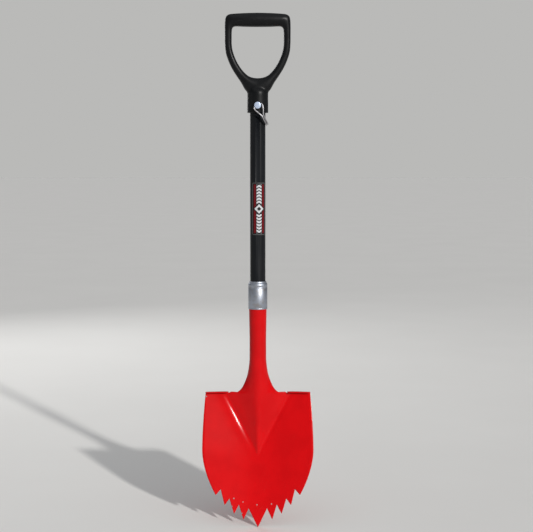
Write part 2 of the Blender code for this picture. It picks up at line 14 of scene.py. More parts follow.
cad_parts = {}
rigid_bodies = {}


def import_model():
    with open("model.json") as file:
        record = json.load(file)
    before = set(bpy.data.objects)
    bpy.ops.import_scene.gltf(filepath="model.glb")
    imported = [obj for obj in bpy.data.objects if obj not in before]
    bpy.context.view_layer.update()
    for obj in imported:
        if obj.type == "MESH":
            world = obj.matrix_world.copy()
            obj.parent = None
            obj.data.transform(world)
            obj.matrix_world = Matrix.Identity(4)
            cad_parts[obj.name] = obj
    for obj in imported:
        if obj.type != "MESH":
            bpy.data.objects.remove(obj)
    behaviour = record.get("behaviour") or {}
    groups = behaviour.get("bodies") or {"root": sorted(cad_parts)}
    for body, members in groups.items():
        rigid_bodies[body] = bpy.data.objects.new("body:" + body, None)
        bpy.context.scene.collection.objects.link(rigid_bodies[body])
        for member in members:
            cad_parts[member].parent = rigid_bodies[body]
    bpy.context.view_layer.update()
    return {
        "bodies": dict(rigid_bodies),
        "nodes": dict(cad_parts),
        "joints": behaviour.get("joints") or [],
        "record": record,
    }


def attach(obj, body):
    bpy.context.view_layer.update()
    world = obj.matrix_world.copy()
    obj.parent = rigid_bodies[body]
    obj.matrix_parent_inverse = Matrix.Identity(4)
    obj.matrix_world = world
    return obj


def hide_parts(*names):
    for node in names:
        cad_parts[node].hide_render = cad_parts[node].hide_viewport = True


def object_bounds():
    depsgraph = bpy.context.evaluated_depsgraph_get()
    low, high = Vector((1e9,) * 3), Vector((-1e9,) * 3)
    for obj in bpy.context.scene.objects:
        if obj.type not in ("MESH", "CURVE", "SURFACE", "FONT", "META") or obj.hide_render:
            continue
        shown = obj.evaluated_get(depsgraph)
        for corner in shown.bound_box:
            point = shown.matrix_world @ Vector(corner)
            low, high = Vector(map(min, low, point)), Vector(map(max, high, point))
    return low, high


GAP = 0.0003  # clearance left between pieces that touch
BORE_REACH = 0.03  # half-length of the tools that cut holes right through a piece

# Shaft
SHAFT_R = 0.0150
SHAFT_BORE_R = 0.0110
SHAFT_TOP_Z = -0.1355
SHAFT_TAPER_Z = -0.566
SHAFT_END_Z = -0.652
SHAFT_END_R = 0.0136
SHAFT_EDGE = 0.0005

# Grip
GRIP_HALF_WIDTH = 0.0637
ARM_DEPTH = 0.018
OPENING_BOTTOM_Z = -0.1116
GRIP_SOCKET_R = 0.0204
GRIP_SOCKET_END_Z = -0.1785
GRIP_BORE_TOP_Z = -0.1340
GRIP_BORE_CHAMFER = 0.0004
GRIP_DOME_BASE_Z = -0.141
GRIP_DOME_HEIGHT = 0.014

# Lock pin and its wire
PIN_Z = -0.1646
PIN_R = 0.0040
PIN_HEAD_R = 0.0066
PIN_HEAD_BACK_Y = -0.0209
PIN_HEAD_FRONT_Y = -0.0298
PIN_TIP_Y = 0.0325
PIN_CROWN = 0.0019
PIN_CROWN_POWERS = (0.75, 0.55)  # of the crown's radius and height, both rounder than a circle
PIN_EDGE = 0.0004
PIN_POINT_LENGTH = 0.0015
WIRE_R = 0.0013
WIRE_AXIS_Y = -0.0254
WIRE_TILT = math.radians(26.8)

# Label
LABEL_TOP_Z = -0.3131
LABEL_BOTTOM_Z = -0.4161
LABEL_HALF_ANGLE = math.radians(62)
LABEL_TURN = math.radians(10)
LABEL_THICKNESS = 0.00025
LABEL_CORNER = 0.004
LABEL_SEGMENTS = 96

# Ferrule
FERRULE_TOP_Z = -0.5074
FERRULE_LIP_END_Z = -0.5106
FERRULE_SHOULDER_Z = -0.5150
FERRULE_END_Z = -0.5623
FERRULE_R = 0.0188
FERRULE_LIP_R = 0.0166
FERRULE_LIP_EDGE = 0.0006
FERRULE_END_EDGE = 0.0003
FERRULE_LINES = (-0.5183, -0.5204, -0.5600)
FERRULE_LINE_DEPTH = 0.00018
FERRULE_LINE_HALF_WIDTHS = (0.00035, 0.0001)  # at the surface, and at the bottom of the line

# Blade and its rolled socket, one sheet of steel
SHEET = 0.0020
RIM_ROUNDING = 0.0004
SOCKET_TOP_Z = -0.5215
SOCKET_TOP_R = 0.0164
SOCKET_WAIST_Z = -0.625
SOCKET_WAIST_R = 0.0154
FLARE_Z = -0.664
FLARE_R = 0.0156
FLARE_ROW_POWER = 0.8
SEAM_HALF_ANGLE = math.radians(3.6)
BLADE_TOP_Z = -0.7302
BLADE_LEAN = math.radians(11)
SHOULDER_Y = 0.009
FROG_HALF_WIDTH = 0.062
FROG_LENGTH = 0.122
FROG_FLANK_POWER = 1.75
CREST_ROUNDING = (0.011, 0.0035)  # at the top edge, and from CREST_NARROW_V down
CREST_NARROW_V = 0.08
NECK_HALF_WIDTH = 0.0405
CORNER_HALF_WIDTH = 0.1038
SIDE_BULGE = 0.0057
SIDE_BULGE_V = 0.1117
SIDE_DROP = 1.93
SIDE_DROP_POWER = 1.768
DISH_SLOPE = 0.19
VALLEY_ROUNDING = 0.010
CENTRE_ROUNDING = 0.020
GROOVE_DEPTH = 0.0021
GROOVE_HALF_WIDTH = 0.0062
GROOVE_START_V = 0.008
GROOVE_DEEPEST_V = 0.045
GROOVE_FADE_V = 0.075
TIP_CURL = 0.004
BLADE_LENGTH = 0.2651
TREAD_INNER_X = 0.059
TREAD_BEND_R = 0.0022
TREAD_DEPTH = 0.0070
TREAD_DROP = 0.0029  # how much lower the sheet stops where it bends, so that the tread ends level
TREAD_RAMP = 0.0060
TREAD_INNER_END = 0.006
TREAD_OUTER_END = 0.005
TREAD_END_SHARE = 0.45

# Half of the serrated edge, from the middle outwards: distance from the centreline, distance below the top
TEETH = (
    (0.0, 0.2651),
    (0.0182, 0.2284),
    (0.0284, 0.2494),
    (0.0373, 0.2202),
    (0.0469, 0.2377),
    (0.0560, 0.2079),
    (0.0654, 0.2200),
    (0.0730, 0.1891),
    (0.0830, 0.1999),
)
TOOTH_ROOT_V = 0.227  # just inside the roots at the centreline
TOOTH_ROOT_CURVE = 7.86  # how fast their line rises with x squared

# How the mesh of the blade settles from its top edge to its teeth and its sides
TOOTH_POWER = 8
SIDE_POWER = 12
SETTLE_POWER = 1.5
TOP_EDGE_POWER = 8
TOOTH_STEPS = 9
NECK_COLUMNS = 36
PLAIN_COLUMNS = 9
TREAD_COLUMNS = 27
BLADE_ROWS = 64
SOCKET_ROWS = 20
FLARE_ROWS = 36
BEND_ROWS = 8
TREAD_ROWS = 4

# Paint chips near the teeth and on the edges: distance from the centreline, distance down, radius
CHIPS = (
    (-0.0474, 0.2083, 0.0013),
    (-0.0293, 0.2161, 0.0011),
    (-0.0016, 0.2220, 0.0011),
    (0.0271, 0.2200, 0.0013),
    (-0.0316, 0.2377, 0.0011),
    (-0.0505, 0.2235, 0.0009),
    (-0.1024, 0.0084, 0.0012),
    (0.1060, 0.1580, 0.0014),
)
CHIP_WOBBLE = 0.0016  # how far noise shifts a chip's outline
CHIP_BLUR = 0.0002

# Rivets
RIVET_R = 0.0024
RIVET_HEAD_R = 0.0050
RIVET_HEAD_HEIGHT = 0.0022
RIVET_RIM_HEIGHT = 0.0004
MANDREL_R = 0.0013
MANDREL_DEPTH = 0.0003
RIVET_INNER_END = 0.0070
RIVET_PLACES = ((math.radians(142), -0.5340), (math.radians(-142), -0.5480))

# Camera, with the object's axis a little left of the picture's middle
CAMERA_X = 0.0171
CAMERA_Y = -2.4
CAMERA_Z = -0.25
AIM_Z = -0.4778
LENS_MM = 82.68
SENSOR_MM = 36.0

ROUND = 128
CURVE_STEPS = 12  # steps in a quarter turn of a turned profile
SMALL_ROUND = 48  # sides of the rivets and of the tools that cut holes
FLOOR_HALF_SIZE = 30.0


# ---------------------------------------------------------------- mesh helpers


def add_object(name, bm, mat, sharp_degrees=35):
    """Turns a bmesh in world space into a smooth-shaded object."""
    bmesh.ops.recalc_face_normals(bm, faces=bm.faces)
    mesh = bpy.data.meshes.new(name)
    bm.to_mesh(mesh)
    bm.free()
    obj = bpy.data.objects.new(name, mesh)
    bpy.context.scene.collection.objects.link(obj)
    mesh.shade_smooth()
    mesh.set_sharp_from_angle(angle=math.radians(sharp_degrees))
    if mat is not None:
        mesh.materials.append(mat)
    return obj


def bridge(bm, rings, closed=False):
    """Faces between rings of vertices that follow each other. A ring of one vertex makes a fan."""
    for low, high in zip(rings, rings[1:] + rings[:1] if closed else rings[1:]):
        count = max(len(low), len(high))
        for k in range(count):
            after = (k + 1) % count
            corners = (low[k % len(low)], low[after % len(low)], high[after % len(high)], high[k % len(high)])
            bm.faces.new(list(dict.fromkeys(corners)))


def turned(profile, segments=ROUND, closed=True):
    """Revolves (radius, height) points about Z. A closed profile makes a tube, an open one a solid."""
    bm = bmesh.new()
    rings = []
    for radius, height in profile:
        if radius == 0.0:
            rings.append([bm.verts.new((0.0, 0.0, height))])
            continue
        ring = []
        for k in range(segments):
            angle = math.tau * k / segments
            ring.append(bm.verts.new((radius * math.cos(angle), radius * math.sin(angle), height)))
        rings.append(ring)
    bridge(bm, rings, closed)
    return bm


def lathe_along(profile, start, direction, segments):
    """Turned shape with its axis on the line through start, heights measured along direction."""
    bm = turned(profile, segments, closed=False)
    turn = Vector(direction).to_track_quat("Z", "Y").to_matrix().to_4x4()
    bmesh.ops.transform(bm, matrix=Matrix.Translation(start) @ turn, verts=bm.verts)
    return bm


def rod(radius, start, end, segments=SMALL_ROUND):
    """A plain solid cylinder between two points, used as a cutter."""
    start = Vector(start)
    end = Vector(end)
    length = (end - start).length
    profile = [(0.0, 0.0), (radius, 0.0), (radius, length), (0.0, length)]
    return lathe_along(profile, start, end - start, segments)


def quarter_turn(first=0):
    """Angles from zero to a right angle, in even steps."""
    return [0.5 * math.pi * k / CURVE_STEPS for k in range(first, CURVE_STEPS + 1)]


def cut(obj, bm):
    """Subtracts a bmesh from an object and throws the cutter away."""
    tool = add_object(f"{obj.name}_cutter", bm, None)
    modifier = obj.modifiers.new("cut", "BOOLEAN")
    modifier.object = tool
    modifier.operation = "DIFFERENCE"
    modifier.solver = "EXACT"
    apply_modifiers(obj)
    bpy.data.objects.remove(tool)


def apply_modifiers(obj):
    """Replaces the object's mesh with its evaluated one."""
    evaluated = obj.evaluated_get(bpy.context.evaluated_depsgraph_get())
    mesh = bpy.data.meshes.new_from_object(evaluated)
    obj.modifiers.clear()
    obj.data = mesh


def smooth_path(points, steps):
    """Catmull-Rom curve through the points, of any dimension, with the ends doubled."""
    padded = [points[0], *points, points[-1]]
    result = []
    for a, b, c, d in zip(padded, padded[1:], padded[2:], padded[3:]):
        for k in range(steps):
            t = k / steps
            weights = (
                (-t + 2 * t * t - t**3) / 2,
                (2 - 5 * t * t + 3 * t**3) / 2,
                (t + 4 * t * t - 3 * t**3) / 2,
                (t**3 - t * t) / 2,
            )
            corners = list(zip(weights, (a, b, c, d)))
            result.append(tuple(sum(w * p[i] for w, p in corners) for i in range(len(b))))
    result.append(tuple(points[-1]))
    return result


def tube_along(path, radius, sides):
    """A round solid bar along a path, its section carried without twist, with flat ends."""
    bm = bmesh.new()
    points = [Vector(p) for p in path]
    across = (points[1] - points[0]).normalized().orthogonal().normalized()
    rings = []
    for k, point in enumerate(points):
        before = points[max(k - 1, 0)]
        after = points[min(k + 1, len(points) - 1)]
        tangent = (after - before).normalized()
        across = (across - tangent * across.dot(tangent)).normalized()
        other = tangent.cross(across)
        ring = []
        for j in range(sides):
            angle = math.tau * j / sides
            ring.append(bm.verts.new(point + (across * math.cos(angle) + other * math.sin(angle)) * radius))
        rings.append(ring)
    bridge(bm, rings)
    bm.faces.new(rings[0])
    bm.faces.new(rings[-1])
    return bm


# ---------------------------------------------------------------- shader helpers


class Shader:
    """One procedural material: a Principled shader and short calls for the nodes that feed it."""

    def __init__(self, name, **constants):
        self.mat = bpy.data.materials.new(name)
        self.mat.use_nodes = True
        self.tree = self.mat.node_tree
        self.surface = self.tree.nodes["Principled BSDF"]
        for socket, value in constants.items():
            self.surface.inputs[socket.replace("_", " ")].default_value = value
        self.place = self.node("ShaderNodeTexCoord").outputs["Object"]

    def put(self, socket, value):
        """Sets an input socket, to a constant or to a link."""
        if isinstance(value, bpy.types.NodeSocket):
            self.tree.links.new(value, socket)
        elif value is not None:
            socket.default_value = value

    def node(self, kind, inputs=None, **settings):
        made = self.tree.nodes.new(kind)
        for name, value in settings.items():
            setattr(made, name, value)
        for key, value in (inputs or {}).items():
            self.put(made.inputs[key], value)
        return made

    def math(self, operation, a, b=None, clamp=False):
        return self.node("ShaderNodeMath", {0: a, 1: b}, operation=operation, use_clamp=clamp).outputs[0]

    def vector_math(self, operation, a, b):
        """A vector operation. SCALE takes a number second."""
        inputs = {0: a, "Scale" if operation == "SCALE" else 1: b}
        return self.node("ShaderNodeVectorMath", inputs, operation=operation)

    def stretched(self, scale):
        """Object coordinates scaled differently along each axis."""
        return self.node("ShaderNodeMapping", {"Vector": self.place, "Scale": scale}).outputs[0]

    def noise(self, scale, detail=2.0, roughness=0.5, place=None):
        made = self.node(
            "ShaderNodeTexNoise",
            {"Vector": place or self.place, "Scale": scale, "Detail": detail, "Roughness": roughness},
        )
        return made.outputs["Fac"]

    def cells(self, scale):
        return self.node("ShaderNodeTexVoronoi", {"Vector": self.place, "Scale": scale}).outputs["Distance"]

    def remap(self, value, low, high, to_low=0.0, to_high=1.0):
        """Maps low..high to to_low..to_high by a smooth step, clamped."""
        made = self.node(
            "ShaderNodeMapRange",
            {"Value": value, "From Min": low, "From Max": high, "To Min": to_low, "To Max": to_high},
            interpolation_type="SMOOTHSTEP",
        )
        return made.outputs["Result"]

    def blend(self, share, a, b):
        """Mixes two colours."""
        made = self.node("ShaderNodeMix", data_type="RGBA")
        self.put(made.inputs["Factor"], share)
        for socket, value in zip([i for i in made.inputs if i.type == "RGBA"], (a, b)):
            self.put(socket, (*value, 1.0) if isinstance(value, tuple) else value)
        return next(o for o in made.outputs if o.type == "RGBA")

    def bump(self, height, distance, strength=1.0, under=None):
        made = self.node(
            "ShaderNodeBump", {"Height": height, "Distance": distance, "Strength": strength, "Normal": under}
        )
        return made.outputs["Normal"]

    def finish(self, colour, roughness, normal=None):
        """Feeds the Principled shader and gives the material."""
        for name, value in (("Base Color", colour), ("Roughness", roughness), ("Normal", normal)):
            self.put(self.surface.inputs[name], value)
        return self.mat


# ---------------------------------------------------------------- materials


def red_powder_coat():
    """Glossy red coat with a faint orange peel, fine scratches, a little dust, and grey chips."""
    s = Shader("red_powder_coat", Coat_Weight=0.22, Coat_Roughness=0.10, IOR=1.4, Specular_IOR_Level=0.04)
    cloud = s.noise(28.0, 3.0)
    colour = s.blend(s.remap(cloud, 0.35, 0.7), (0.570, 0.0030, 0.0048), (0.520, 0.0026, 0.0043))
    grain = s.noise(2600.0, 1.0)
    colour = s.blend(s.remap(grain, 0.62, 0.8, 0.0, 0.25), colour, (0.41, 0.0026, 0.0043))

    scratch = s.noise(1.0, 2.0, 0.6, s.stretched((1400.0, 1400.0, 34.0)))
    patch = s.remap(s.noise(16.0, 2.0), 0.5, 0.66)
    scratches = s.math("MULTIPLY", s.remap(scratch, 0.69, 0.74), patch)
    colour = s.blend(s.math("MULTIPLY", scratches, 0.22), colour, (0.72, 0.16, 0.13))

    dust = s.math("MULTIPLY", s.remap(s.noise(1500.0, 2.0), 0.70, 0.76), s.remap(s.noise(40.0), 0.5, 0.7))
    colour = s.blend(s.math("MULTIPLY", dust, 0.5), colour, (0.52, 0.33, 0.22))

    wobble = s.node("ShaderNodeTexNoise", {"Vector": s.place, "Scale": 900.0, "Detail": 2.0}).outputs["Color"]
    centred = s.vector_math("SUBTRACT", wobble, (0.5, 0.5, 0.5)).outputs[0]
    shift = s.vector_math("SCALE", centred, CHIP_WOBBLE).outputs[0]
    wobbled = s.vector_math("ADD", s.place, shift).outputs[0]
    chipped = 0.0
    for x, v, radius in CHIPS:
        on_front = sheet_point(x, v) - Vector((0.0, SHEET / 2, 0.0))
        away = s.vector_math("DISTANCE", wobbled, on_front).outputs["Value"]
        inside = s.remap(away, radius + CHIP_BLUR, radius - CHIP_BLUR)
        chipped = s.math("MAXIMUM", inside, chipped)
    wear = s.node("ShaderNodeAttribute", attribute_name="edge_wear").outputs["Fac"]
    worn_patches = s.remap(s.noise(210.0, 3.0, 0.6), 0.60, 0.64)
    rim_chips = s.math("MULTIPLY", s.remap(wear, 0.90, 0.97), worn_patches)
    chipped = s.math("MAXIMUM", chipped, rim_chips)
    steel = s.blend(s.noise(1200.0), (0.26, 0.22, 0.22), (0.42, 0.37, 0.37))
    colour = s.blend(chipped, colour, steel)

    roughness = s.remap(s.noise(55.0, 3.0), 0.3, 0.7, 0.30, 0.34)
    roughness = s.math("MAXIMUM", roughness, s.math("MULTIPLY", chipped, 0.55))
    roughness = s.math("ADD", roughness, s.math("MULTIPLY", dust, 0.3))
    normal = s.bump(s.noise(420.0, 1.0), 0.00010, 0.35)
    normal = s.bump(s.math("SUBTRACT", 1.0, chipped), 0.00025, 0.8, normal)
    return s.finish(colour, roughness, normal)


def black_moulding():
    """Satin black plastic with a fine spark grain, long scuffs and the mould's parting line."""
    s = Shader("black_moulding", IOR=1.47, Specular_IOR_Level=0.2)
    tone = s.noise(70.0, 3.0)
    colour = s.blend(tone, (0.0035, 0.0038, 0.0044), (0.0060, 0.0064, 0.0072))
    scuff = s.remap(s.noise(1.0, 2.0, 0.6, s.stretched((90.0, 900.0, 700.0))), 0.68, 0.74)
    colour = s.blend(s.math("MULTIPLY", scuff, 0.30), colour, (0.060, 0.060, 0.062))
    grain = s.cells(1100.0)
    fine = s.noise(3000.0, 2.0)
    height = s.math("ADD", s.math("MULTIPLY", grain, 0.7), s.math("MULTIPLY", fine, 0.3))
    normal = s.bump(height, 0.00012, 0.45)
    from_middle = s.math("ABSOLUTE", s.node("ShaderNodeSeparateXYZ", {0: s.place}).outputs["Y"])
    seam = s.remap(from_middle, 0.00012, 0.00032, 1.0, 0.0)
    normal = s.bump(seam, 0.00022, 0.9, normal)
    roughness = s.remap(s.noise(38.0, 3.0), 0.3, 0.7, 0.33, 0.43)
    return s.finish(colour, roughness, normal)


def black_fibreglass():
    """Pultruded black resin: lengthwise glass strands show faintly below a satin surface."""
    s = Shader("black_fibreglass", IOR=1.5, Specular_IOR_Level=0.2)
    strands = s.noise(1.0, 3.0, 0.6, s.stretched((1300.0, 1300.0, 7.0)))
    colour = s.blend(s.remap(strands, 0.35, 0.75), (0.0035, 0.0042, 0.0055), (0.0085, 0.0095, 0.0118))
    wear = s.remap(s.noise(1.0, 3.0, 0.6, s.stretched((500.0, 500.0, 60.0))), 0.70, 0.76)
    colour = s.blend(s.math("MULTIPLY", wear, 0.35), colour, (0.07, 0.068, 0.066))
    normal = s.bump(strands, 0.00008, 0.5)
    roughness = s.remap(s.noise(30.0, 3.0), 0.3, 0.7, 0.34, 0.46)
    return s.finish(colour, roughness, normal)


def core_wood():
    """Pale dowel wood with growth lines along Z."""
    s = Shader("core_wood")
    rings = s.noise(1.0, 4.0, 0.6, s.stretched((420.0, 420.0, 22.0)))
    pores = s.noise(1.0, 2.0, 0.5, s.stretched((2400.0, 2400.0, 90.0)))
    colour = s.blend(s.remap(rings, 0.3, 0.7), (0.56, 0.39, 0.22), (0.42, 0.26, 0.13))
    colour = s.blend(s.remap(pores, 0.6, 0.75, 0.0, 0.6), colour, (0.22, 0.13, 0.07))
    return s.finish(colour, s.remap(rings, 0.3, 0.7, 0.62, 0.78), s.bump(pores, 0.0001, 0.5))


def label_vinyl():
    """Printed vinyl: black field, grey frame, two dark red stripes, and chevrons with a diamond between."""
    s = Shader("label_vinyl", IOR=1.46, Specular_IOR_Level=0.25)
    split = s.node("ShaderNodeSeparateXYZ", {0: s.place})
    turn = s.math("ARCTAN2", split.outputs["X"], s.math("MULTIPLY", split.outputs["Y"], -1.0))
    around = s.math("MULTIPLY", s.math("SUBTRACT", turn, LABEL_TURN), SHAFT_R + GAP)
    aside = s.math("ABSOLUTE", around)
    middle = (LABEL_TOP_Z + LABEL_BOTTOM_Z) / 2
    half_height = (LABEL_TOP_Z - LABEL_BOTTOM_Z) / 2
    along = s.math("SUBTRACT", split.outputs["Z"], middle)
    height = s.math("ABSOLUTE", along)

    print_blur = 0.0002
    frame_half_width = 0.0137
    frame_half_height = half_height - 0.0013
    corner = 0.0030
    out_x = s.math("MAXIMUM", s.math("SUBTRACT", aside, frame_half_width - corner), 0.0)
    out_z = s.math("MAXIMUM", s.math("SUBTRACT", height, frame_half_height - corner), 0.0)
    reach = s.math("SQRT", s.math("ADD", s.math("POWER", out_x, 2.0), s.math("POWER", out_z, 2.0)))
    off_frame = s.math("ABSOLUTE", s.math("SUBTRACT", reach, corner))
    frame = s.remap(off_frame, 0.00045, 0.00062, 1.0, 0.0)

    margin = 0.0042
    inside = s.remap(height, half_height - margin, half_height - margin + print_blur, 1.0, 0.0)
    stripe_middle = 0.0084
    stripe_inner_edge = 0.00224
    stripe_outer_edge = 0.00236
    off_stripe = s.math("ABSOLUTE", s.math("SUBTRACT", aside, stripe_middle))
    stripe = s.remap(off_stripe, stripe_inner_edge, stripe_outer_edge, 1.0, 0.0)
    stripe = s.math("MULTIPLY", stripe, inside)

    band = s.remap(aside, 0.00485, 0.00500, 1.0, 0.0)
    chevron_slope = 0.55
    chevron_pitch = 0.0061
    phase = s.math("ADD", height, s.math("MULTIPLY", aside, chevron_slope))
    step = s.math("FRACT", s.math("DIVIDE", phase, chevron_pitch))
    chevrons = s.math("MULTIPLY", s.remap(step, 0.0, 0.04), s.remap(step, 0.66, 0.70, 1.0, 0.0))
    chevrons = s.math("MULTIPLY", s.math("MULTIPLY", chevrons, band), inside)

    diamond = s.math("ADD", height, aside)
    clear_ring = s.remap(diamond, 0.0118, 0.0118 + print_blur)
    light_diamond = s.remap(diamond, 0.0092, 0.0092 + print_blur, 1.0, 0.0)
    dark_diamond = s.remap(diamond, 0.0042, 0.0042 + print_blur, 1.0, 0.0)
    light = s.math("MULTIPLY", chevrons, clear_ring)
    light = s.math("MAXIMUM", light, s.math("SUBTRACT", light_diamond, dark_diamond, clamp=True))
    stripe = s.math("MULTIPLY", stripe, clear_ring)

    ink = s.noise(900.0, 2.0)
    colour = s.blend(ink, (0.0045, 0.0045, 0.0052), (0.0075, 0.0075, 0.0083))
    colour = s.blend(frame, colour, s.blend(ink, (0.080, 0.082, 0.085), (0.14, 0.142, 0.145)))
    colour = s.blend(stripe, colour, s.blend(ink, (0.115, 0.0035, 0.0065), (0.150, 0.0045, 0.0080)))
    colour = s.blend(light, colour, s.blend(ink, (0.48, 0.49, 0.51), (0.62, 0.63, 0.65)))
    worn = s.math("MULTIPLY", s.remap(s.noise(260.0, 4.0, 0.65), 0.62, 0.68), 0.55)
    colour = s.blend(worn, colour, (0.030, 0.030, 0.032))
    roughness = s.remap(s.noise(60.0, 2.0), 0.3, 0.7, 0.30, 0.42)
    return s.finish(colour, roughness, s.bump(s.noise(500.0, 2.0), 0.00006, 0.4))


def polished_steel(name, brushed_around=True):
    """Bright drawn steel. Its fine marks run round the part, or every way on a small rivet."""
    s = Shader(name, Metallic=1.0)
    grain_scale = (60.0, 60.0, 5200.0) if brushed_around else (1600.0, 1600.0, 1600.0)
    grain = s.noise(1.0, 3.0, 0.6, s.stretched(grain_scale))
    tarnish = s.remap(s.noise(120.0, 4.0, 0.6), 0.45, 0.75)
    colour = s.blend(tarnish, (0.40, 0.43, 0.49), (0.34, 0.32, 0.31))
    handling = s.noise(1.0, 3.0, 0.6, s.stretched((900.0, 900.0, 45.0)))
    marks = s.remap(handling, 0.66, 0.73)
    colour = s.blend(s.math("MULTIPLY", marks, 0.35), colour, (0.30, 0.28, 0.27))
    roughness = s.math("ADD", s.remap(grain, 0.3, 0.7, 0.44, 0.52), s.math("MULTIPLY", marks, 0.10))
    return s.finish(colour, roughness, s.bump(grain, 0.00003, 0.6))


def zinc_plate(name, bright, dull, metallic):
    """Zinc plating between a bright and a dull tone, with small dark flecks."""
    s = Shader(name, Metallic=metallic)
    spangle = s.cells(420.0)
    colour = s.blend(s.remap(spangle, 0.1, 0.8), bright, dull)
    flecks = s.remap(s.noise(700.0, 3.0), 0.60, 0.70)
    colour = s.blend(s.math("MULTIPLY", flecks, 0.4), colour, (0.20, 0.19, 0.18))
    roughness = s.remap(s.noise(150.0, 2.0), 0.3, 0.7, 0.32, 0.42)
    roughness = s.math("ADD", roughness, s.math("MULTIPLY", flecks, 0.15))
    return s.finish(colour, roughness, s.bump(s.noise(1300.0, 2.0), 0.00005, 0.4))


def studio_floor():
    """Matt pale paper, very slightly uneven in tone."""
    s = Shader("studio_floor")
    colour = s.blend(s.noise(3.0, 3.0), (0.74, 0.73, 0.71), (0.78, 0.77, 0.75))
    return s.finish(colour, 0.85)


# ---------------------------------------------------------------- blade


def socket_radius(z):
    """Mid-sheet radius of the rolled socket."""
    if z > FERRULE_END_Z:
        return SOCKET_TOP_R
    if z > SOCKET_WAIST_Z:
        share = (z - FERRULE_END_Z) / (SOCKET_WAIST_Z - FERRULE_END_Z)
        return SOCKET_TOP_R + (SOCKET_WAIST_R - SOCKET_TOP_R) * share
    share = min(1.0, (z - SOCKET_WAIST_Z) / (FLARE_Z - SOCKET_WAIST_Z))
    return SOCKET_WAIST_R + (FLARE_R - SOCKET_WAIST_R) * share


def rounded(distance, rounding):
    """Distance from the centreline with its kink at zero rounded off."""
    return math.hypot(distance, rounding) - rounding


def frog_toe(v):
    """Half-width of the frog, the ridge that runs the socket out into the blade."""
    return FROG_HALF_WIDTH * max(0.0, 1.0 - v / FROG_LENGTH)


def frog_height(x, v):
    """How far the frog stands forward of the pan: steepest near its rounded crest, with hollow flanks."""
    toe = frog_toe(v)
    share = min(1.0, v / CREST_NARROW_V)
    crest = CREST_ROUNDING[0] + (CREST_ROUNDING[1] - CREST_ROUNDING[0]) * share
    across = rounded(x, crest)
    if across >= toe:
        return 0.0
    rise = max(0.0, SHOULDER_Y + FLARE_R - v * math.sin(BLADE_LEAN))
    return rise * (1.0 - across / toe) ** FROG_FLANK_POWER


def smooth_ramp(value, rounding):
    """The larger of value and zero, with the kink at zero rounded off."""
    return (value + math.hypot(value, rounding)) / 2


def dish_height(x, v):
    """How far the pan comes forward towards its sides: it slopes up from the frog's toe."""
    toe = smooth_ramp(FROG_HALF_WIDTH * (1.0 - v / FROG_LENGTH), VALLEY_ROUNDING)

    def reach(distance):
        return smooth_ramp(rounded(distance, CENTRE_ROUNDING) - toe, VALLEY_ROUNDING)

    return DISH_SLOPE * (reach(x) - reach(0.0))


def groove_depth(x, v):
    """Shallow groove pressed in along the frog's toe. It starts below the top edge and fades downwards."""
    toe = FROG_HALF_WIDTH * (1.0 - v / FROG_LENGTH)
    off = (rounded(x, CREST_ROUNDING[1]) - toe) / GROOVE_HALF_WIDTH
    fade = max(0.0, 1.0 - ((v - GROOVE_DEEPEST_V) / GROOVE_FADE_V) ** 2)
    return GROOVE_DEPTH * min(1.0, v / GROOVE_START_V) * fade * math.exp(-off * off)


def sheet_point(x, v):
    """Mid-sheet point at distance x from the centreline and v down the blade from its top edge."""
    curl = TIP_CURL * (v / BLADE_LENGTH) ** 3
    forward = frog_height(x, v) + dish_height(x, v) - groove_depth(x, v)
    y = SHOULDER_Y - v * math.sin(BLADE_LEAN) - forward - curl
    return Vector((x, y, BLADE_TOP_Z - v * math.cos(BLADE_LEAN)))


def side_half_width(v):
    """Half-width of the blade at its side edge."""
    widest = CORNER_HALF_WIDTH + SIDE_BULGE
    if v < SIDE_BULGE_V:
        return CORNER_HALF_WIDTH + SIDE_BULGE * math.sin(0.5 * math.pi * v / SIDE_BULGE_V)
    return widest - SIDE_DROP * (v - SIDE_BULGE_V) ** SIDE_DROP_POWER


def top_columns():
    """Distances from the centreline, along the top edge, of the blade's columns."""
    neck = [NECK_HALF_WIDTH * k / NECK_COLUMNS for k in range(NECK_COLUMNS)]
    plain_width = TREAD_INNER_X - NECK_HALF_WIDTH
    plain = [NECK_HALF_WIDTH + plain_width * k / PLAIN_COLUMNS for k in range(PLAIN_COLUMNS)]
    tread_width = CORNER_HALF_WIDTH - TREAD_INNER_X
    tread = [TREAD_INNER_X + tread_width * k / TREAD_COLUMNS for k in range(TREAD_COLUMNS + 1)]
    return neck + plain + tread


def bottom_columns():
    """Points along the serrated edge where the same columns end."""
    points = []
    for (x0, v0), (x1, v1) in zip(TEETH, TEETH[1:]):
        for k in range(TOOTH_STEPS):
            t = k / TOOTH_STEPS
            points.append((x0 + (x1 - x0) * t, v0 + (v1 - v0) * t))
    points.append(TEETH[-1])
    return points


def column_v(bottom_x, bottom_v, q):
    """How far down a column is at q. Rows follow the line of the tooth roots until the last few."""
    root_v = TOOTH_ROOT_V - TOOTH_ROOT_CURVE * bottom_x**2
    return root_v * q + (bottom_v - root_v) * q**TOOTH_POWER


def top_edge_v(x):
    """Where the flat sheet starts at distance x: lower under the treads."""
    share = max(0.0, min(1.0, 1.0 - (TREAD_INNER_X - x) / TREAD_RAMP))
    return TREAD_DROP * share * share * (3.0 - 2.0 * share)


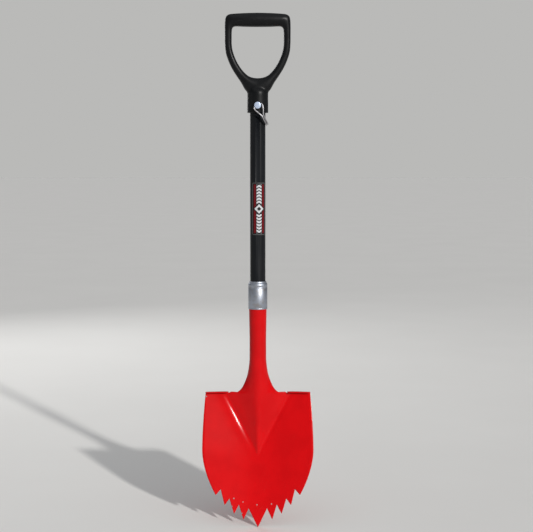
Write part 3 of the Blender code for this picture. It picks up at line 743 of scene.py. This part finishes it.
def blade_grid_point(top_x, bottom, q):
    """Point of one column at q from 0, the top edge, to 1, the serrated edge."""
    bottom_x, bottom_v = bottom
    edge_x, edge_v = TEETH[-1]
    settle = 1.0 - (1.0 - q) ** SETTLE_POWER
    straight = top_x + (bottom_x - top_x) * settle
    straight_side = CORNER_HALF_WIDTH + (edge_x - CORNER_HALF_WIDTH) * settle
    bulge = side_half_width(column_v(edge_x, edge_v, q)) - straight_side
    x = straight + bulge * (bottom_x / edge_x) ** SIDE_POWER
    lowered = top_edge_v(top_x) * (1.0 - q) ** TOP_EDGE_POWER
    return sheet_point(x, column_v(bottom_x, bottom_v, q) + lowered)


def neck_point(column, z):
    """Point of the rolled socket, which opens at the back into the blade's top edge."""
    share = column / NECK_COLUMNS
    angle = (math.pi - SEAM_HALF_ANGLE) * share
    radius = socket_radius(z)
    rolled = Vector((radius * math.sin(angle), -radius * math.cos(angle), z))
    if z >= FLARE_Z:
        return rolled
    t = (z - FLARE_Z) / (BLADE_TOP_Z - FLARE_Z)
    # The seam's edge opens later than the front, and catches up in the last few rows
    edge_opening = 0.84 * t + 0.16 * t**16
    opening = t + (edge_opening - t) * share**4
    opened = rolled.lerp(sheet_point(NECK_HALF_WIDTH * share, 0.0), opening)
    opened.z = z
    return opened


def tread_share(x):
    """The tread's depth as a share of its full depth: its two ends are rounded off."""
    inner = (x - TREAD_INNER_X) / TREAD_INNER_END
    outer = (CORNER_HALF_WIDTH - x) / TREAD_OUTER_END
    reach = max(0.0, min(1.0, inner, outer))
    return TREAD_END_SHARE + (1.0 - TREAD_END_SHARE) * math.sqrt(1.0 - (1.0 - reach) ** 2)


def tread_point(x, row):
    """Mid-sheet point of the foot tread, which bends forward from the shoulder's top edge."""
    root = sheet_point(x, TREAD_DROP)
    start = -BLADE_LEAN
    angle = start + (0.5 * math.pi - start) * min(1.0, row / BEND_ROWS)
    forward = TREAD_BEND_R * (math.cos(start) - math.cos(angle))
    up = TREAD_BEND_R * (math.sin(angle) - math.sin(start))
    if row > BEND_ROWS:
        forward += TREAD_DEPTH * tread_share(x) * (row - BEND_ROWS) / TREAD_ROWS
    return root + Vector((0.0, -forward, up))


def blade_mid_sheet():
    """The sheet's middle surface as a bmesh, and the vertices of its serrated edge."""
    bm = bmesh.new()
    tops = top_columns()
    bottoms = bottom_columns()

    def mirrored(points):
        """Vertices of one row from the left edge to the right edge, given its points for x >= 0."""
        right = [bm.verts.new(p) for p in points]
        left = [bm.verts.new((-p[0], p[1], p[2])) for p in points[1:]]
        return left[::-1] + right

    def stitch(upper, lower):
        """Faces between two rows of the same length."""
        for k in range(len(upper) - 1):
            bm.faces.new((upper[k], upper[k + 1], lower[k + 1], lower[k]))

    socket_height = FLARE_Z - SOCKET_TOP_Z
    flare_height = BLADE_TOP_Z - FLARE_Z
    heights = [SOCKET_TOP_Z + socket_height * k / SOCKET_ROWS for k in range(SOCKET_ROWS)]
    heights += [FLARE_Z + flare_height * (k / FLARE_ROWS) ** FLARE_ROW_POWER for k in range(FLARE_ROWS)]
    above = None
    for z in heights:
        row = mirrored([neck_point(column, z) for column in range(NECK_COLUMNS + 1)])
        if above:
            stitch(above, row)
        above = row

    middle = len(tops) - 1
    first = mirrored([blade_grid_point(x, bottom, 0.0) for x, bottom in zip(tops, bottoms)])
    stitch(above, first[middle - NECK_COLUMNS : middle + NECK_COLUMNS + 1])
    previous = first
    for r in range(1, BLADE_ROWS + 1):
        row = mirrored([blade_grid_point(x, bottom, r / BLADE_ROWS) for x, bottom in zip(tops, bottoms)])
        stitch(previous, row)
        previous = row

    tread_start = NECK_COLUMNS + PLAIN_COLUMNS
    for side in (-1, 1):
        lower = [first[middle + side * k] for k in range(tread_start, len(tops))]
        for row_number in range(1, BEND_ROWS + TREAD_ROWS + 1):
            row = []
            for k in range(tread_start, len(tops)):
                point = tread_point(tops[k], row_number)
                row.append(bm.verts.new((side * point.x, point.y, point.z)))
            stitch(row, lower) if side > 0 else stitch(row[::-1], lower[::-1])
            lower = row
    return bm, set(previous)


def thicken(bm, serrated):
    """Gives the middle surface its thickness and a slightly rounded rim, and marks the serrated rim."""
    bmesh.ops.recalc_face_normals(bm, faces=bm.faces)
    bm.normal_update()
    bm.verts.index_update()
    solid = bmesh.new()
    wear = solid.verts.layers.float.new("edge_wear")
    outer = [solid.verts.new(v.co + v.normal * SHEET / 2) for v in bm.verts]
    inner = [solid.verts.new(v.co - v.normal * SHEET / 2) for v in bm.verts]
    outward = {}
    for edge in bm.edges:
        if edge.is_boundary:
            a, b = edge.verts
            face = edge.link_faces[0]
            away = (b.co - a.co).normalized().cross(face.normal)
            if away.dot((a.co + b.co) / 2 - face.calc_center_median()) < 0:
                away.negate()
            for vert in (a, b):
                outward[vert.index] = outward.get(vert.index, Vector()) + away
    near_rim = {}
    far_rim = {}
    for vert in bm.verts:
        if vert.index in outward:
            out = outward[vert.index].normalized() * RIM_ROUNDING
            across = vert.normal * (SHEET / 2 - RIM_ROUNDING)
            for ring, place in ((near_rim, vert.co + across + out), (far_rim, vert.co - across + out)):
                made = solid.verts.new(place)
                made[wear] = 1.0 if vert in serrated else 0.0
                ring[vert.index] = made
    for face in bm.faces:
        indices = [v.index for v in face.verts]
        solid.faces.new([outer[i] for i in indices])
        solid.faces.new([inner[i] for i in reversed(indices)])
    for edge in bm.edges:
        if edge.is_boundary:
            a, b = (v.index for v in edge.verts)
            sides = [(ring[a], ring[b]) for ring in (outer, near_rim, far_rim, inner)]
            for (p, q), (r, s) in zip(sides, sides[1:]):
                solid.faces.new((p, q, s, r))
    bm.free()
    return solid


def outward_at(angle):
    """Unit vector pointing out of the shaft at an angle from the front."""
    return Vector((math.sin(angle), -math.cos(angle), 0.0))


def make_blade(mat):
    """The blade with its treads and rolled socket, one sheet."""
    bm, serrated = blade_mid_sheet()
    return add_object("blade_sheet", thicken(bm, serrated), mat, sharp_degrees=60)


# ---------------------------------------------------------------- shaft group


def cut_pin_hole(obj):
    """The cross hole for the lock pin."""
    cut(obj, rod(PIN_R + GAP, (0, -BORE_REACH, PIN_Z), (0, BORE_REACH, PIN_Z)))


def make_shaft(mat):
    """The tube, straight to the ferrule and slightly tapered inside the socket."""
    profile = [
        (SHAFT_BORE_R, SHAFT_TOP_Z),
        (SHAFT_BORE_R, SHAFT_END_Z),
        (SHAFT_END_R - SHAFT_EDGE, SHAFT_END_Z),
        (SHAFT_END_R, SHAFT_END_Z + SHAFT_EDGE),
        (SHAFT_R, SHAFT_TAPER_Z),
        (SHAFT_R, SHAFT_TOP_Z),
    ]
    obj = add_object("shaft_pole", turned(profile), mat)
    cut_pin_hole(obj)
    return obj


def make_label(mat):
    """A thin film bent round the front of the shaft, with rounded corners."""
    inner_r = SHAFT_R + GAP
    outer_r = inner_r + LABEL_THICKNESS
    half_arc = LABEL_HALF_ANGLE * inner_r
    bm = bmesh.new()
    columns = []
    for k in range(LABEL_SEGMENTS + 1):
        arc = half_arc * (2 * k / LABEL_SEGMENTS - 1)
        past = max(0.0, abs(arc) - (half_arc - LABEL_CORNER)) / LABEL_CORNER
        trim = LABEL_CORNER * (1.0 - math.sqrt(max(0.0, 1.0 - past**2)))
        out = outward_at(LABEL_TURN + arc / inner_r)
        top = Vector((0.0, 0.0, LABEL_TOP_Z - trim))
        bottom = Vector((0.0, 0.0, LABEL_BOTTOM_Z + trim))
        places = ((inner_r, top), (outer_r, top), (outer_r, bottom), (inner_r, bottom))
        columns.append([bm.verts.new(out * radius + height) for radius, height in places])
    bridge(bm, columns)
    bm.faces.new(columns[0])
    bm.faces.new(columns[-1])
    return add_object("label_film", bm, mat)


def make_ferrule(mat):
    """A drawn collar: thin lip round the shaft, rounded shoulder and straight skirt with fine lines."""
    skirt_bore = SOCKET_TOP_R + SHEET / 2 + GAP
    lip_bore = SHAFT_R + GAP
    shoulder_width = FERRULE_R - FERRULE_LIP_R
    shoulder_height = FERRULE_LIP_END_Z - FERRULE_SHOULDER_Z
    lip_bevel = 0.3 * FERRULE_LIP_EDGE
    line_width, line_floor = FERRULE_LINE_HALF_WIDTHS
    line_r = FERRULE_R - FERRULE_LINE_DEPTH
    outside = [
        (FERRULE_LIP_R - FERRULE_LIP_EDGE, FERRULE_TOP_Z),
        (FERRULE_LIP_R - lip_bevel, FERRULE_TOP_Z - lip_bevel),
        (FERRULE_LIP_R, FERRULE_TOP_Z - FERRULE_LIP_EDGE),
    ]
    for angle in quarter_turn():
        radius = FERRULE_LIP_R + shoulder_width * math.sin(angle)
        outside.append((radius, FERRULE_SHOULDER_Z + shoulder_height * math.cos(angle)))
    for z in FERRULE_LINES:
        outside += [
            (FERRULE_R, z + line_width),
            (line_r, z + line_floor),
            (line_r, z - line_floor),
            (FERRULE_R, z - line_width),
        ]
    outside.append((FERRULE_R, FERRULE_END_Z + FERRULE_END_EDGE))
    outside.append((FERRULE_R - FERRULE_END_EDGE, FERRULE_END_Z))
    profile = [
        (lip_bore, FERRULE_TOP_Z),
        (lip_bore, SOCKET_TOP_Z + 0.0015),
        (skirt_bore, SOCKET_TOP_Z + GAP),
        (skirt_bore, FERRULE_END_Z),
        *outside[::-1],
    ]
    return add_object("ferrule_collar", turned(profile), mat, sharp_degrees=50)


def make_rivets(mat):
    """Two domed blind rivets, one each side of the socket's seam."""
    made = []
    for name, (angle, z) in zip(("rivet_right", "rivet_left"), RIVET_PLACES):
        head = FERRULE_R + GAP
        rim = head + RIVET_RIM_HEIGHT
        dome = [
            (RIVET_HEAD_R * math.cos(swing), rim + RIVET_HEAD_HEIGHT * math.sin(swing))
            for swing in quarter_turn(1)
            if RIVET_HEAD_R * math.cos(swing) > MANDREL_R
        ]
        top = dome[-1][1]
        profile = [
            (0.0, RIVET_INNER_END),
            (RIVET_R, RIVET_INNER_END),
            (RIVET_R, head),
            (RIVET_HEAD_R, head),
            (RIVET_HEAD_R, rim),
            *dome,
            (MANDREL_R, top),
            (MANDREL_R, top - MANDREL_DEPTH),
            (0.0, top - MANDREL_DEPTH),
        ]
        bm = lathe_along(profile, Vector((0, 0, z)), outward_at(angle), SMALL_ROUND)
        made.append(add_object(name, bm, mat))
    return made


# ---------------------------------------------------------------- grip

# Half of the D loop, from the middle of the bar to the middle of the yoke, in metres:
# inner outline x, z; outer outline x, z; depth front to back; squareness of the section
GRIP_STATIONS = (
    (0.0000, -0.0136, 0.0000, 0.0136, 0.0272, 2.0),
    (0.0250, -0.0133, 0.0250, 0.0130, 0.0266, 2.0),
    (0.0400, -0.0126, 0.0470, 0.0117, 0.0246, 2.1),
    (0.0458, -0.0133, 0.0558, 0.0104, 0.0228, 2.2),
    (0.0487, -0.0158, 0.0610, 0.0068, 0.0210, 2.3),
    (0.0498, -0.0200, 0.0631, 0.0000, 0.0196, 2.4),
    (0.0502, -0.0270, GRIP_HALF_WIDTH, -0.0110, 0.0186, 2.5),
    (0.0503, -0.0370, GRIP_HALF_WIDTH, -0.0300, ARM_DEPTH, 2.6),
    (0.0502, -0.0470, 0.0635, -0.0460, ARM_DEPTH, 2.6),
    (0.0484, -0.0590, 0.0620, -0.0620, ARM_DEPTH, 2.6),
    (0.0435, -0.0735, 0.0570, -0.0780, ARM_DEPTH, 2.6),
    (0.0368, -0.0865, 0.0500, -0.0930, 0.0186, 2.6),
    (0.0280, -0.0985, 0.0420, -0.1060, 0.0200, 2.5),
    (0.0185, -0.1070, 0.0325, -0.1200, 0.0228, 2.4),
    (0.0092, -0.1106, 0.0220, -0.1370, 0.0252, 2.3),
    (0.0000, OPENING_BOTTOM_Z, 0.0000, -0.1500, 0.0262, 2.2),
)
LOOP_STEPS = 6
LOOP_SIDES = 40
GRIP_VOXEL = 0.0008
YOKE_Z = (-0.160, -0.150, -0.128, -0.116)  # its smoothing fades in between the first two, out in the last
EVEN_OUT_PASSES = 5
MELT_PASSES = 90
BORE_TOOL_END_Z = -0.190


def grip_loop():
    """The D-shaped ring, swept through its stations on both sides."""
    half = smooth_path(GRIP_STATIONS, LOOP_STEPS)
    stations = half + [(-s[0], s[1], -s[2], s[3], s[4], s[5]) for s in half[-2:0:-1]]
    bm = bmesh.new()
    rings = []
    for inner_x, inner_z, outer_x, outer_z, depth, power in stations:
        inner = Vector((inner_x, 0.0, inner_z))
        outer = Vector((outer_x, 0.0, outer_z))
        centre = (inner + outer) / 2
        half_width = (outer - inner) / 2
        ring = []
        for k in range(LOOP_SIDES):
            angle = math.tau * k / LOOP_SIDES
            c = math.cos(angle)
            s = math.sin(angle)
            along = math.copysign(abs(c) ** (2 / power), c)
            aside = math.copysign(abs(s) ** (2 / power), s)
            ring.append(bm.verts.new(centre + half_width * along + Vector((0, depth / 2 * aside, 0))))
        rings.append(ring)
    bridge(bm, rings, closed=True)
    return bm


def grip_socket():
    """The round socket below the yoke, with a domed top that blends into it."""
    profile = [(0.0, GRIP_SOCKET_END_Z), (GRIP_SOCKET_R, GRIP_SOCKET_END_Z)]
    for angle in quarter_turn()[:-1]:
        height = GRIP_DOME_BASE_Z + GRIP_DOME_HEIGHT * math.sin(angle)
        profile.append((GRIP_SOCKET_R * math.cos(angle), height))
    profile.append((0.0, GRIP_DOME_BASE_Z + GRIP_DOME_HEIGHT))
    return turned(profile, closed=False)


def join(first, second):
    """Puts the second bmesh's faces into the first."""
    bmesh.ops.recalc_face_normals(first, faces=first.faces)
    bmesh.ops.recalc_face_normals(second, faces=second.faces)
    scratch = bpy.data.meshes.new("scratch")
    second.to_mesh(scratch)
    second.free()
    first.from_mesh(scratch)
    bpy.data.meshes.remove(scratch)
    return first


def ease(value, low, high):
    """Smooth step from 0 at low to 1 at high."""
    t = max(0.0, min(1.0, (value - low) / (high - low)))
    return t * t * (3 - 2 * t)


def make_grip(mat):
    """Loop and socket, fused by a voxel remesh and then smoothed, most of all round the yoke."""
    obj = add_object("grip_moulding", join(grip_loop(), grip_socket()), mat)
    remesh = obj.modifiers.new("fuse", "REMESH")
    remesh.mode = "VOXEL"
    remesh.voxel_size = GRIP_VOXEL
    remesh.use_smooth_shade = True
    apply_modifiers(obj)
    yoke = obj.vertex_groups.new(name="yoke")
    for vert in obj.data.vertices:
        z = vert.co.z
        weight = ease(z, YOKE_Z[0], YOKE_Z[1]) * (1 - ease(z, YOKE_Z[2], YOKE_Z[3]))
        if weight > 0:
            yoke.add([vert.index], weight, "REPLACE")
    for name, passes, group in (("even_out", EVEN_OUT_PASSES, ""), ("melt_yoke", MELT_PASSES, "yoke")):
        smooth = obj.modifiers.new(name, "SMOOTH")
        smooth.factor = 0.5
        smooth.iterations = passes
        smooth.vertex_group = group
    apply_modifiers(obj)
    bore_r = SHAFT_R + GAP
    # The tool is the shaft's bore with its chamfer, and a disc below that trims the socket's end flat
    bore = [
        (0.0, BORE_TOOL_END_Z),
        (BORE_REACH, BORE_TOOL_END_Z),
        (BORE_REACH, GRIP_SOCKET_END_Z),
        (bore_r + GRIP_BORE_CHAMFER, GRIP_SOCKET_END_Z),
        (bore_r, GRIP_SOCKET_END_Z + GRIP_BORE_CHAMFER),
        (bore_r, GRIP_BORE_TOP_Z),
        (0.0, GRIP_BORE_TOP_Z),
    ]
    cut(obj, turned(bore, closed=False))
    cut_pin_hole(obj)
    obj.data.shade_smooth()
    obj.data.set_sharp_from_angle(angle=math.radians(50))
    return obj


# ---------------------------------------------------------------- lock pin

# Half of the wire, from its end in the pin's head to the middle of its eye behind the pin's tip:
# distance along the hinge axis, distance out from the pin, and front-to-back place, in metres
WIRE_ROUTE = (
    (0.0042, 0.0000, -0.0254),
    (0.0069, 0.0000, -0.0254),
    (0.0083, 0.0012, -0.0255),
    (0.0083, 0.0055, -0.0259),
    (0.0068, 0.0102, -0.0263),
    (0.0043, 0.0156, -0.0265),
    (0.0020, 0.0208, -0.0263),
    (0.0015, 0.0260, -0.0255),
    (0.0015, 0.0320, -0.0224),
    (0.0015, 0.0372, -0.0167),
    (0.0015, 0.0400, -0.0092),
    (0.0015, 0.0409, -0.0012),
    (0.0015, 0.0402, 0.0075),
    (0.0015, 0.0370, 0.0158),
    (0.0015, 0.0312, 0.0222),
    (0.0018, 0.0240, 0.0266),
    (0.0031, 0.0170, 0.0292),
    (0.0050, 0.0100, 0.0306),
    (0.0058, 0.0030, 0.0316),
    (0.0054, -0.0025, 0.0326),
    (0.0036, -0.0056, 0.0335),
    (0.0000, -0.0066, 0.0341),
)
WIRE_STEPS = 6
WIRE_SIDES = 20
WIRE_HOLE_REACH = 0.012
WIRE_HOLE_SIDES = 32
PIN_SIDES = 72


def wire_axis():
    """Direction of the cross hole in the pin's head, on which the wire hinges."""
    return Vector((math.cos(WIRE_TILT), 0.0, math.sin(WIRE_TILT)))


def wire_reach():
    """Direction in which the closed wire stands away from the pin."""
    return Vector((math.sin(WIRE_TILT), 0.0, -math.cos(WIRE_TILT)))


def make_pin(mat):
    """The pin with its crowned head, and the cross hole in the head for the wire."""
    length = PIN_TIP_Y - PIN_HEAD_FRONT_Y
    head_length = PIN_HEAD_BACK_Y - PIN_HEAD_FRONT_Y
    radius_power, height_power = PIN_CROWN_POWERS
    profile = [(0.0, 0.0)]
    for angle in quarter_turn(1):
        height = PIN_CROWN * (1 - math.cos(angle) ** height_power)
        profile.append((PIN_HEAD_R * math.sin(angle) ** radius_power, height))
    profile += [
        (PIN_HEAD_R, head_length - PIN_EDGE),
        (PIN_HEAD_R - PIN_EDGE, head_length),
        (PIN_R, head_length),
        (PIN_R, length - PIN_POINT_LENGTH),
        (PIN_R - 0.4 * PIN_POINT_LENGTH, length - PIN_EDGE),
        (PIN_R - PIN_POINT_LENGTH, length),
        (0.0, length),
    ]
    bm = lathe_along(profile, (0.0, PIN_HEAD_FRONT_Y, PIN_Z), (0, 1, 0), PIN_SIDES)
    obj = add_object("pin_turned", bm, mat)
    centre = Vector((0.0, WIRE_AXIS_Y, PIN_Z))
    reach = wire_axis() * WIRE_HOLE_REACH
    cut(obj, rod(WIRE_R + GAP, centre - reach, centre + reach, WIRE_HOLE_SIDES))
    return obj


def make_wire(mat):
    """The wire, mirrored about the pin's plane, open where its two ends meet in the pin's head."""
    half = smooth_path(WIRE_ROUTE, WIRE_STEPS)
    route = half + [(-a, s, y) for a, s, y in half[-2::-1]]
    pin = Vector((0.0, 0.0, PIN_Z))
    points = [pin + wire_axis() * a + wire_reach() * s + Vector((0, y, 0)) for a, s, y in route]
    return add_object("wire_formed", tube_along(points, WIRE_R, WIRE_SIDES), mat, sharp_degrees=60)


# ---------------------------------------------------------------- stage


def make_camera():
    camera = bpy.data.objects.new("camera", bpy.data.cameras.new("camera"))
    bpy.context.scene.collection.objects.link(camera)
    camera.data.lens = LENS_MM
    camera.data.sensor_width = SENSOR_MM
    camera.location = (CAMERA_X, CAMERA_Y, CAMERA_Z)
    aim = Vector((CAMERA_X, 0.0, AIM_Z))
    camera.rotation_euler = (aim - camera.location).to_track_quat("-Z", "Y").to_euler()
    bpy.context.scene.camera = camera


def make_light(name, kind, place, aim, power, colour=(1.0, 1.0, 1.0), **settings):
    """A light at a place, turned to its aim."""
    light = bpy.data.lights.new(name, kind)
    light.energy = power
    light.color = colour
    for setting, value in settings.items():
        setattr(light, setting, value)
    obj = bpy.data.objects.new(name, light)
    bpy.context.scene.collection.objects.link(obj)
    obj.location = place
    obj.rotation_euler = (Vector(aim) - Vector(place)).to_track_quat("-Z", "Y").to_euler()


def make_lights():
    """A warm key from the upper right, three soft fills, a cool surround and a plain backdrop."""
    centre = (0.0, 0.0, -0.6)
    warm = (1.0, 0.985, 0.96)
    make_light("key", "SUN", (1.70, -2.85, 0.68), centre, 2.9, warm, angle=math.radians(2.5))
    cool = (0.96, 0.98, 1.0)
    make_light("overhead", "SUN", (0.3, -0.9, 2.2), centre, 0.6, cool, angle=math.radians(80))
    make_light("left", "AREA", (-2.6, -0.6, 0.2), centre, 1.5, (0.95, 0.97, 1.0), size=1.0)
    make_light("back", "AREA", (-1.2, 2.4, 0.6), centre, 16, size=1.5)
    world = bpy.data.worlds.new("studio")
    bpy.context.scene.world = world
    world.use_nodes = True
    tree = world.node_tree
    surround = tree.nodes["Background"]
    surround.inputs["Color"].default_value = (0.92, 0.95, 1.0, 1.0)
    surround.inputs["Strength"].default_value = 0.18
    # What the camera sees behind the floor, in the tone of the floor's far end
    backdrop = tree.nodes.new("ShaderNodeBackground")
    backdrop.inputs["Color"].default_value = (0.491, 0.490, 0.480, 1.0)
    seen = tree.nodes.new("ShaderNodeLightPath")
    both = tree.nodes.new("ShaderNodeMixShader")
    tree.links.new(seen.outputs["Is Camera Ray"], both.inputs[0])
    tree.links.new(surround.outputs[0], both.inputs[1])
    tree.links.new(backdrop.outputs[0], both.inputs[2])
    tree.links.new(both.outputs[0], tree.nodes["World Output"].inputs["Surface"])


def make_floor():
    """A plain floor under the object's lowest point."""
    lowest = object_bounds()[0].z
    bm = bmesh.new()
    bmesh.ops.create_grid(bm, x_segments=8, y_segments=8, size=FLOOR_HALF_SIZE)
    bmesh.ops.translate(bm, verts=bm.verts, vec=(0.0, 0.0, lowest))
    add_object("floor", bm, studio_floor())


# ---------------------------------------------------------------- assembly


def show(piece, body, node):
    """A fine piece that stands for a CAD node."""
    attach(piece, body)
    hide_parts(node)


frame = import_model()

make_camera()
make_lights()
make_floor()
bpy.context.scene.view_settings.view_transform = "Standard"

steel = polished_steel("polished_steel")
pin_zinc = zinc_plate("pin_zinc", (0.56, 0.66, 0.84), (0.46, 0.54, 0.70), 0.45)
wire_zinc = zinc_plate("wire_zinc", (0.46, 0.46, 0.48), (0.34, 0.33, 0.34), 0.85)
show(make_blade(red_powder_coat()), "shovel", "blade")
show(make_shaft(black_fibreglass()), "shovel", "shaft_tube")
show(make_label(label_vinyl()), "shovel", "shaft_label")
show(make_ferrule(steel), "shovel", "ferrule")
rivet_nodes = ("socket_rivet_right", "socket_rivet_left")
for rivet, node in zip(make_rivets(polished_steel("rivet_steel", brushed_around=False)), rivet_nodes):
    show(rivet, "shovel", node)
show(make_grip(black_moulding()), "shovel", "d_grip")
show(make_pin(pin_zinc), "lock_pin", "lock_pin")
show(make_wire(wire_zinc), "lock_wire", "lock_wire")
wood = core_wood()
for node in ("upper_core_plug", "lower_core_plug"):
    for material_slot in frame["nodes"][node].material_slots:
        material_slot.material = wood
